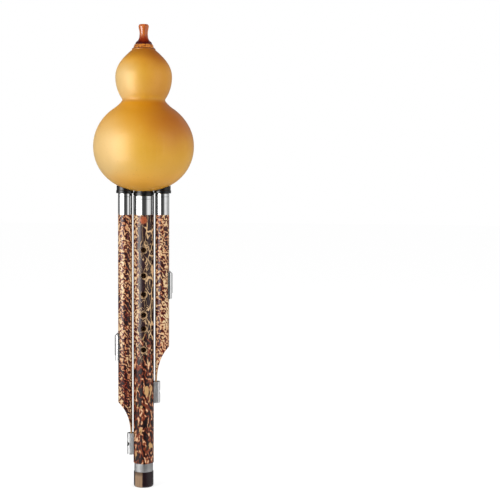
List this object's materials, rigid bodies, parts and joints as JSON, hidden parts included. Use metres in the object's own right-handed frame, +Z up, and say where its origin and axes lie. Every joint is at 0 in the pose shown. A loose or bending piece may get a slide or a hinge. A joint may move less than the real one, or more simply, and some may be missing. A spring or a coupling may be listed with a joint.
{
  "type": "hulusi gourd flute",
  "caption": "Gourd flute with a hollow gourd wind chest, a mouthpiece, a melody pipe with finger holes between drone pipes with sliding stop keys, and a free reed in each pipe head.",
  "frame": {"origin": "on the melody pipe's axis, at the lower end face of the end cap", "axes": "+Z up the pipes to the mouthpiece, -Y to the front with the finger holes, +X to the shorter drone's side"},
  "size_m": [0.0952, 0.0952, 0.4387],
  "materials": {
    "gourd_shell": "smooth, waxed, satin",
    "mottled_bamboo": "lacquered, mottled tan and dark brown",
    "plain_bamboo": "plain, unlacquered",
    "polished_metal": "mirror polished",
    "satin_metal": "satin, finely turned",
    "brass": "bright",
    "black_plastic": "gloss",
    "amber_resin": "clear amber, polished",
    "dark_horn": "polished, with a tan streak",
    "cork": "matte",
    "pad_leather": "matte",
    "ring_rubber": "matte",
    "screw_steel": "dark, oiled"
  },
  "bodies": {
    "pipes": {"melody_pipe": "mottled_bamboo", "end_ring": "satin_metal", "end_cap": "dark_horn", "melody_ferrule": "polished_metal", "left_drone_pipe": "mottled_bamboo", "left_drone_plug": "cork", "left_ferrule": "polished_metal", "left_key_track": "satin_metal", "left_key_lower_screw": "screw_steel", "left_key_upper_screw": "screw_steel", "left_tail_sleeve": "satin_metal", "left_tail_screw": "screw_steel", "left_tail_spacer": "cork", "right_drone_pipe": "mottled_bamboo", "right_drone_plug": "cork", "right_ferrule": "polished_metal", "right_key_track": "satin_metal", "right_key_lower_screw": "screw_steel", "right_key_upper_screw": "screw_steel", "right_tail_sleeve": "satin_metal", "right_tail_screw": "screw_steel", "right_tail_spacer": "cork"},
    "wind_chest": {"gourd": "gourd_shell", "mouthpiece_collar": "amber_resin", "melody_seat": "black_plastic", "melody_tenon": "brass", "melody_upper_o_ring": "ring_rubber", "melody_lower_o_ring": "ring_rubber", "melody_reed_tube": "plain_bamboo", "melody_reed_plate": "brass", "melody_reed_cap": "cork", "left_seat": "black_plastic", "left_tenon": "brass", "left_upper_o_ring": "ring_rubber", "left_lower_o_ring": "ring_rubber", "left_reed_tube": "plain_bamboo", "left_reed_plate": "brass", "left_reed_cap": "cork", "right_seat": "black_plastic", "right_tenon": "brass", "right_upper_o_ring": "ring_rubber", "right_lower_o_ring": "ring_rubber", "right_reed_tube": "plain_bamboo", "right_reed_plate": "brass", "right_reed_cap": "cork"},
    "mouthpiece": {"mouthpiece": "amber_resin", "mouthpiece_cork": "cork"},
    "left_key": {"left_stop_key": "polished_metal", "left_key_pad": "pad_leather"},
    "right_key": {"right_stop_key": "polished_metal", "right_key_pad": "pad_leather"},
    "melody_reed": {"melody_reed_tongue": "brass"},
    "left_reed": {"left_reed_tongue": "brass"},
    "right_reed": {"right_reed_tongue": "brass"}
  },
  "joints": [
    {"name": "pull_apart", "type": "slide", "parent": "pipes", "child": "wind_chest", "axis": [0, 0, 1], "range_m": [0, 0.025]},
    {"name": "mouthpiece_pull", "type": "slide", "parent": "wind_chest", "child": "mouthpiece", "axis": [0, 0, 1], "range_m": [0, 0.016]},
    {"name": "left_key_slide", "type": "slide", "parent": "pipes", "child": "left_key", "axis": [0, 0, 1], "range_m": [0, 0.009]},
    {"name": "right_key_slide", "type": "slide", "parent": "pipes", "child": "right_key", "axis": [0, 0, 1], "range_m": [0, 0.009]},
    {"name": "melody_reed_swing", "type": "hinge", "parent": "wind_chest", "child": "melody_reed", "pos_m": [0, -0.0057, 0.3079], "axis": [1, 0, 0], "range_deg": [-3, 3], "stiffness_Nm_per_rad": 0.001},
    {"name": "left_reed_swing", "type": "hinge", "parent": "wind_chest", "child": "left_reed", "pos_m": [-0.0175, -0.0042, 0.3084], "axis": [1, 0, 0], "range_deg": [-3, 3], "stiffness_Nm_per_rad": 0.0005},
    {"name": "right_reed_swing", "type": "hinge", "parent": "wind_chest", "child": "right_reed", "pos_m": [0.0175, -0.0042, 0.3084], "axis": [1, 0, 0], "range_deg": [-3, 3], "stiffness_Nm_per_rad": 0.0005}
  ]
}
